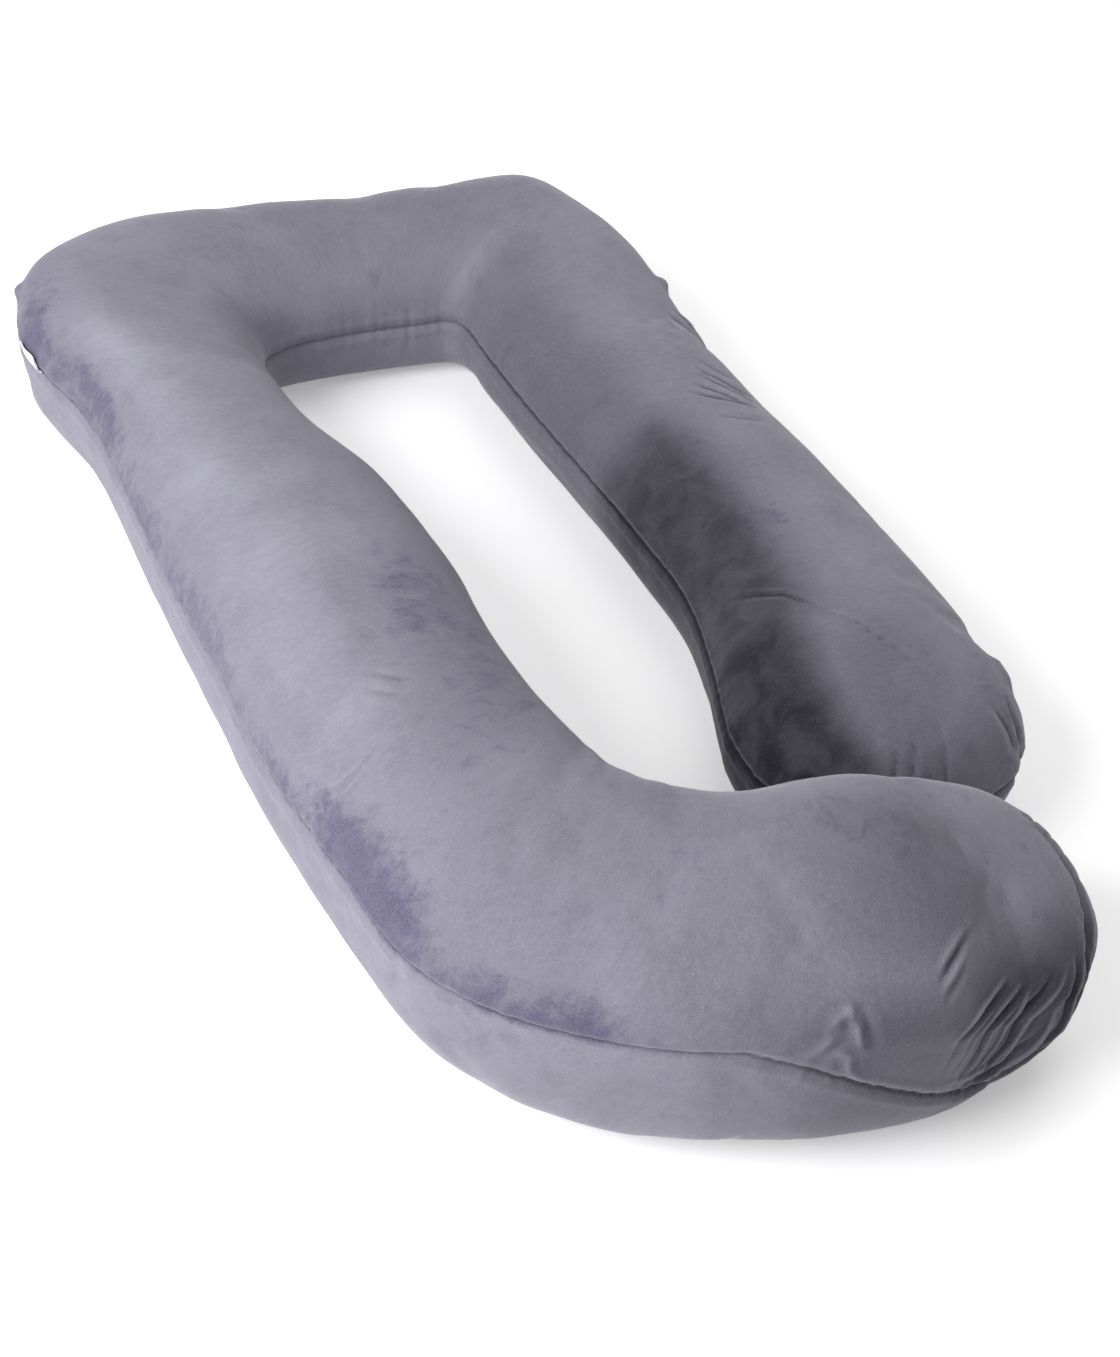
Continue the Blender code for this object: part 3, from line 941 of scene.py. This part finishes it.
# Painted highlights: the crowns of both arms drawn paler, as where the light falls on them.
LIT_PATCHES = [
    Patch("arm crown", 14.2, 20.0, 42, 86, 40, 0.80),
    Patch("back arm crown", 1.4, 4.8, 36, 70, 30, 0.40),
]
# Painted shade: inside the back arm, by the seat, behind the elbow, at the head's right corner and over the
# curled end.
SHADED_PATCHES = [
    Patch("inner back arm", 0.3, 3.7, 104, 230, 46, 0.90),
    Patch("behind the elbow", 2.8, 6.4, 108, 230, 46, 0.46),
    Patch("seat top", -1.0, 0.5, 74, 124, 40, 0.42),
    Patch("seat side", -1.1, 1.1, 110, 230, 40, 1.00),
    Patch("arm end side", -1.6, -0.40, -100, 116, 60, 0.56),
    Patch("head middle", 7.6, 12.0, 50, 140, 60, 0.16),
    Patch("right corner", 5.4, 7.4, 106, 230, 40, 0.40),
    Patch("curl middle", 23.5, 25.0, 44, 118, 50, 0.44),
    Patch("curl end", 24.2, 26.6, -120, 50, 60, 0.84),
    Patch("curl side", 24.75, 26.6, -120, 24, 34, 0.96),
    Patch("foot side", 23.1, 25.2, -120, 38, 50, 0.52),
]


UNDERSIDE = 270
POLE_SHADE = 0.30
GROOVE_SHADE = 0.95
GROOVE_REACH = 0.0065


def paint(patches, place_edge):
    """The strongest of the patches at each point of the fine grid."""
    total = np.zeros(ideal.shape[:2])
    for patch in patches:
        along = soft_window(FINE_PLACES, patch.place, patch.to_place, place_edge)[:, None]
        turns = (FINE_TURNS - patch.turn + patch.soft) % 360 + patch.turn - patch.soft
        across = soft_window(turns, patch.turn, patch.to_turn, patch.soft)[None, :]
        total = np.maximum(total, patch.strength * along * across)
    return total


upper_only = (cloth.gap > 0) | (FINE_PLACES[:, None] < 1)
# Dark nap and painted shade from the dark patches, less the painted highlights of the lit patches.
brushed_and_painted_light = paint(DARK_NAP_AND_SHADE_PATCHES, 0.7) * upper_only - paint(LIT_PATCHES, 0.9)
shade = paint(SHADED_PATCHES, 1.3)
curl = (FINE_PLACES > 23.4)[:, None]
brushed_and_painted_light, shade = blur_rows(brushed_and_painted_light, curl, 160), blur_rows(shade, curl, 160)
past_end = np.abs(FINE_PLACES - np.clip(FINE_PLACES, 0, LAST))
# Near both tips the painted shade fades to one even value.
pole = np.clip((past_end - 0.48) / 0.32, 0, 1)[:, None]
brushed_and_painted_light = brushed_and_painted_light * (1 - pole)
shade = shade * (1 - pole) + POLE_SHADE * pole
signed_turns = np.where(FINE_TURNS > UNDERSIDE, FINE_TURNS - 360, FINE_TURNS)
# Painted shade in the seam's groove at the curl's tip.
groove = np.exp(-(seam_gap / GROOVE_REACH) ** 2) * soft_window(signed_turns, -24, 84, 20)
shade = np.maximum(shade, GROOVE_SHADE * at_tip * groove)
print("brushed dark over", round(float((brushed_and_painted_light > 0.3).mean() * 100)), "% of the grid")

# %% Make the pillow
def add_attribute(mesh, name, values, tips):
    layer = mesh.attributes.new(name, "FLOAT", "POINT")
    layer.data.foreach_set("value", np.append(values.ravel(), tips).astype(np.float32))


def cloth_uv(mesh, grid):
    """A UV map in metres. It wraps on the underside, where no one sees the pattern jump."""
    rings, columns = grid.shape[:2]
    u = np.broadcast_to(cloth.along[:, None], (rings, columns)).ravel()
    v = np.where(FINE_TURNS > UNDERSIDE, cloth.round - cloth.girth[:, None], cloth.round).ravel()
    wrap = int(np.searchsorted(FINE_TURNS, UNDERSIDE, side="right"))
    ends = np.array([cloth.along[0], cloth.along[-1]])
    corner = np.empty(len(mesh.loops), int)
    mesh.loops.foreach_get("vertex_index", corner)
    is_tip = corner >= rings * columns
    safe = np.minimum(corner, rings * columns - 1)
    uv = np.stack([np.where(is_tip, ends[np.clip(corner - rings * columns, 0, 1)], u[safe]),
                   np.where(is_tip, 0.0, v[safe])], 1)
    starts = np.empty(len(mesh.polygons), int)
    totals = np.empty(len(mesh.polygons), int)
    mesh.polygons.foreach_get("loop_start", starts)
    mesh.polygons.foreach_get("loop_total", totals)
    owner = np.repeat(np.arange(len(starts)), totals)
    column = np.where(is_tip, -1, safe % columns)
    wraps = np.zeros(len(starts), bool)
    wraps[owner[column == wrap - 1]] = True
    beyond = wraps[owner] & (column == wrap)
    uv[beyond, 1] = cloth.round.ravel()[safe[beyond]]
    mean = np.zeros(len(starts))
    count = np.zeros(len(starts))
    np.add.at(mean, owner[~is_tip], uv[~is_tip, 1])
    np.add.at(count, owner[~is_tip], 1)
    uv[is_tip, 1] = (mean / count)[owner[is_tip]]
    layer = mesh.uv_layers.new(name="cloth")
    layer.data.foreach_set("uv", uv.ravel())


tips = on_node(tip_points())
pillow_mesh = tube_mesh("velvet_pillow", cover, tips)
cloth_uv(pillow_mesh, cover)
add_attribute(pillow_mesh, "seam_gap", cloth.gap, (0.0, 0.0))
add_attribute(pillow_mesh, "brushed_and_painted_light", brushed_and_painted_light, (0.0, 0.0))
add_attribute(pillow_mesh, "shade", shade, (POLE_SHADE, POLE_SHADE))
add_attribute(pillow_mesh, "fold", np.clip(-folds / 0.004, -1, 1), (0.0, 0.0))
pillow_mesh.shade_smooth()
pillow = bpy.data.objects.new("velvet_pillow", pillow_mesh)
bpy.context.collection.objects.link(pillow)
print("pillow", 2 * len(pillow_mesh.polygons), "triangles")

# %% [markdown]
# ## Velvet
#
# Short-pile velvet looks pale where the pile leans towards the light and dark where it is
# brushed the other way, and its edges glow because light catches the tips of the pile.
# The glow is the shader's own sheen. The brushed patches are noise stretched along a
# diagonal of the cloth, so a band breaks up into strokes as if a hand had passed over it.
# The colour also carries painted light: painted shade in the shaded patches, in fold hollows
# and in the seam's groove, and painted highlights on the arms' crowns, on fold ridges and,
# partly, on the lower panel.

# %% Velvet finish
PILE_PALE = (0.166, 0.159, 0.198, 1.0)
PILE_DARK = (0.084, 0.077, 0.130, 1.0)
# Palest pile: the pile's own pale tone, and the colour of painted highlights.
PALE_PILE_AND_HIGHLIGHT = (0.262, 0.257, 0.305, 1.0)
# Painted shade: near black, for the shaded patches and the fold hollows.
PAINTED_SHADE_COLOUR = (0.012, 0.010, 0.016, 1.0)
PILE_TIPS = (0.36, 0.355, 0.41, 1.0)
SEAM_SHADOW = (0.012, 0.010, 0.018, 1.0)
STROKE_ANGLE = math.radians(80)
STROKE_STRETCH = 1.9


def velvet():
    f = Finish("brushed_velvet", 0.88, Sheen_Weight=0.30, Sheen_Roughness=0.34,
               Sheen_Tint=(0.94, 0.92, 1.0, 1.0), Specular_IOR_Level=0.15)
    uv = f.node("ShaderNodeUVMap", {"uv_map": "cloth"})
    brushed_and_painted_light, shade, gap, fold = (
        f.node("ShaderNodeAttribute", {"attribute_name": name}, None, "Fac")
        for name in ("brushed_and_painted_light", "shade", "seam_gap", "fold"))
    body = f.node("ShaderNodeTexCoord", None, None, "Object")
    strokes_at = f.node("ShaderNodeMapping", {"vector_type": "TEXTURE"}, {
        "Vector": uv, "Rotation": (0.0, 0.0, STROKE_ANGLE), "Scale": (STROKE_STRETCH, 1, 1)})
    smears = f.grain(body, 8.5, 3.0, 0.55, 0.5).step(0.34, 0.66)
    clouds = f.grain(body, 27, 3.0, 0.60, 0.6).step(0.32, 0.68)
    strokes = f.grain(strokes_at, 66, 4.0, 0.62, 0.8).step(0.30, 0.70)
    tufts = f.grain(strokes_at, 210, 3.0, 0.62, 0.4).step(0.30, 0.70)
    pile = f.grain(uv, 560, 2.0, 0.6).step(0.30, 0.70)
    # Dark nap with its strokes, plus the painted shade and painted highlights carried in the brushed value.
    dark_nap_and_painted_light = (brushed_and_painted_light * 1.30 + (strokes - 0.5) * 0.50 + (tufts - 0.5) * 0.42
            + (smears - 0.5) * 0.50 + (clouds - 0.5) * 0.34)
    # The pile's tone varies at random between pale and palest; the lit patches add a painted highlight.
    pale = f.blend(smears * 0.34 + clouds * 0.12 + strokes * 0.12 + (tufts - 0.5) * 0.15
                   + brushed_and_painted_light.step(0.0, -1.0) * 0.5, PILE_PALE, PALE_PILE_AND_HIGHLIGHT)
    # Lower panel paler: partly its nap, partly painted light where the low side faces the lamps.
    lower = f.blend(gap.step(0.0, -0.004) * (1 - shade) * (0.05 + clouds * 0.24), pale,
                    PALE_PILE_AND_HIGHLIGHT)
    dark = f.blend(dark_nap_and_painted_light.step(0.02, 1.45) * 0.95, lower, PILE_DARK)
    # Painted shade from the shade attribute.
    deep = f.blend(shade * (0.92 + (clouds - 0.5) * 0.12), dark, PAINTED_SHADE_COLOUR)
    # Painted shade in fold hollows.
    hollow = f.blend(fold.step(0.05, 0.80) * 0.60, deep, PAINTED_SHADE_COLOUR)
    # Painted highlight on fold ridges.
    ridge = f.blend(fold.step(-0.06, -0.55) * 0.42, hollow, PALE_PILE_AND_HIGHLIGHT)
    seam = f.blend((1 - gap.size().step(0.0004, 0.0030 + shade * 0.0050))
                   * (0.24 + shade * 1.1), ridge, SEAM_SHADOW)
    tips = ((pile - 0.42) * 0.24 + (tufts - 0.5) * 0.08) * (1 - shade * 0.8)
    f.feed("Base Color", f.blend(tips, seam, PILE_TIPS))
    f.feed("Roughness", 0.80 + strokes * 0.14)
    f.bump([(strokes, 0.10, 0.0010), (tufts, 0.14, 0.0006), (pile, 0.40, 0.0004)])
    return f.material


pillow_mesh.materials.append(velvet())
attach(pillow, "root")
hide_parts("pillow")

# %% [markdown]
# ## The label
#
# A short woven tape is folded in two and caught in the seam at the head corner. It comes
# out of the seam in a bend and leans up against the upper panel, with the same numbers as
# in the CAD source. Its two cut ends are in the seam. It is blank.

# %% Label
LABEL_PLACE = 14.17
LABEL_LENGTH = 0.042
LABEL_REACH = 0.0192
LABEL_BEND = 0.005
LABEL_LEAN = math.radians(80)
LABEL_THICK = 0.0005
LABEL_FOLD = 0.0006
LABEL_OUT = -0.0052
LABEL_WAVE = 0.0009
LABEL_COLUMNS, LABEL_ROWS = 56, 25


def tape_path():
    """Distances along the folded tape's middle and the heights across it: out along the
    outer layer, round the fold and back along the inner one."""
    out = np.linspace(0, LABEL_REACH - LABEL_FOLD, LABEL_ROWS)
    turn = np.linspace(-90, 90, 9)[1:-1] * math.pi / 180
    along = np.concatenate([out, out[-1] + LABEL_FOLD * np.cos(turn), out[::-1]])
    across = LABEL_FOLD * np.concatenate([-np.ones(len(out)), np.sin(turn), np.ones(len(out))])
    return along, across


def bend_up(along, across):
    """The path after its bend, as distances out of the seam and heights above it."""
    angle = np.minimum(along / LABEL_BEND, LABEL_LEAN)
    straight = np.maximum(along - LABEL_BEND * LABEL_LEAN, 0)
    out = LABEL_BEND * np.sin(angle) + straight * np.cos(angle) + across * np.sin(angle)
    up = LABEL_BEND * (1 - np.cos(angle)) + straight * np.sin(angle) - across * np.cos(angle)
    return out, up


def label_layer(offset):
    """The tape's grid of points, moved by an offset along its normal."""
    along, across = tape_path()
    path = np.stack(bend_up(along, across), 1)
    ahead = np.gradient(path, axis=0)
    normal = np.stack([ahead[:, 1], -ahead[:, 0]], 1)
    normal /= np.linalg.norm(normal, axis=1, keepdims=True)
    path = path + offset * normal
    share = np.linspace(0, 1, LABEL_COLUMNS)
    near = skin(LABEL_PLACE + np.array([-0.05, 0.05]), 0)
    rib_step = np.linalg.norm(near[1] - near[0]) / 0.1
    places = LABEL_PLACE + (share - 0.5) * LABEL_LENGTH / rib_step
    root = on_node(skin(places, 0))
    rows = between(places)
    way = rows[:, 0:2] - rows[:, 2:4]
    way /= np.linalg.norm(way, axis=1, keepdims=True)
    free = (along / LABEL_REACH)[None, :]
    sway = LABEL_WAVE * free * np.sin(2 * math.pi * share)[:, None]
    curl = 0.0012 * free ** 2 * np.abs(2 * share - 1)[:, None] ** 5
    reach = LABEL_OUT + LABEL_WAVE + path[None, :, 0] + sway + curl
    flat = root[:, None, :2] + way[:, None, :] * reach[..., None]
    level = root[:, None, 2] + path[None, :, 1] + 0.0004 * np.sin(9 * share + 1)[:, None] * free
    return np.concatenate([flat, level[..., None]], 2)


def label_mesh():
    """A closed sheet between the tape's two faces, with a UV map in metres."""
    faces = np.stack([label_layer(LABEL_THICK / 2), label_layer(-LABEL_THICK / 2)])
    _, columns, rows, _ = faces.shape
    index = np.arange(faces.size // 3).reshape(2, columns, rows)
    outer, inner = index
    quads = [np.stack([outer[:-1, :-1], outer[:-1, 1:], outer[1:, 1:], outer[1:, :-1]], -1),
             np.stack([inner[:-1, :-1], inner[1:, :-1], inner[1:, 1:], inner[:-1, 1:]], -1)]
    for a, b in ((outer[0], inner[0]), (inner[-1], outer[-1]), (inner[:, 0], outer[:, 0]),
                 (outer[:, -1], inner[:, -1])):
        quads.append(np.stack([a[:-1], b[:-1], b[1:], a[1:]], -1))
    quads = np.concatenate([q.reshape(-1, 4) for q in quads])
    mesh = bpy.data.meshes.new("label_tape")
    mesh.from_pydata(faces.reshape(-1, 3).tolist(), [], quads.tolist())
    run = np.concatenate([[0], np.cumsum(np.linalg.norm(np.diff(faces[0, 0], axis=0), axis=1))])
    u = np.broadcast_to(np.linspace(0, LABEL_LENGTH, columns)[None, :, None], index.shape)
    v = np.broadcast_to(run, index.shape)
    corner = np.empty(len(mesh.loops), int)
    mesh.loops.foreach_get("vertex_index", corner)
    layer = mesh.uv_layers.new(name="tape")
    layer.data.foreach_set("uv", np.stack([u.ravel(), v.ravel()], 1)[corner].ravel())
    mesh.shade_smooth()
    return mesh, float(run[-1])


# %% Woven tape finish
def woven_tape():
    """White tape: fine ribs across it, a thread pattern along it and selvedges."""
    f = Finish("woven_tape", 0.55, Sheen_Weight=0.10, Specular_IOR_Level=0.35)
    uv = f.node("ShaderNodeUVMap", {"uv_map": "tape"})
    parts = f.node("ShaderNodeSeparateXYZ", None, {"Vector": uv}, "X").socket.node
    u, v = Wire(f, parts.outputs["X"]), Wire(f, parts.outputs["Y"])
    ribs = f.node("ShaderNodeMath", {"operation": "SINE"}, {0: v * (2 * math.pi / 0.00055)})
    threads = f.node("ShaderNodeMath", {"operation": "SINE"}, {0: u * (2 * math.pi / 0.00048)})
    weave = ribs * 0.30 + threads * 0.25 + ribs * threads * 0.25
    edge = (u - LABEL_LENGTH / 2).size().step(LABEL_LENGTH / 2 - 0.0016, LABEL_LENGTH / 2)
    slubs = f.grain(uv, 900, 2.0, 0.6).step(0.3, 0.7)
    cloth_white = f.blend(0.5 + weave * 0.5, (0.80, 0.80, 0.79, 1.0), (0.93, 0.93, 0.92, 1.0))
    soiled = f.blend(slubs * 0.18, cloth_white, (0.66, 0.66, 0.66, 1.0))
    f.feed("Base Color", f.blend(edge * 0.35, soiled, (0.70, 0.70, 0.70, 1.0)))
    f.feed("Roughness", 0.50 + slubs * 0.12)
    f.bump([(weave, 0.40, 0.0001), (slubs, 0.30, 0.00008)])
    return f.material


tape_mesh, tape_cut = label_mesh()
tape_mesh.materials.append(woven_tape())
label = bpy.data.objects.new("label_tape", tape_mesh)
bpy.context.collection.objects.link(label)
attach(label, "root")
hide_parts("side_label")
print("label", 2 * len(tape_mesh.polygons), "triangles, cut", round(tape_cut * 1000, 1), "mm")
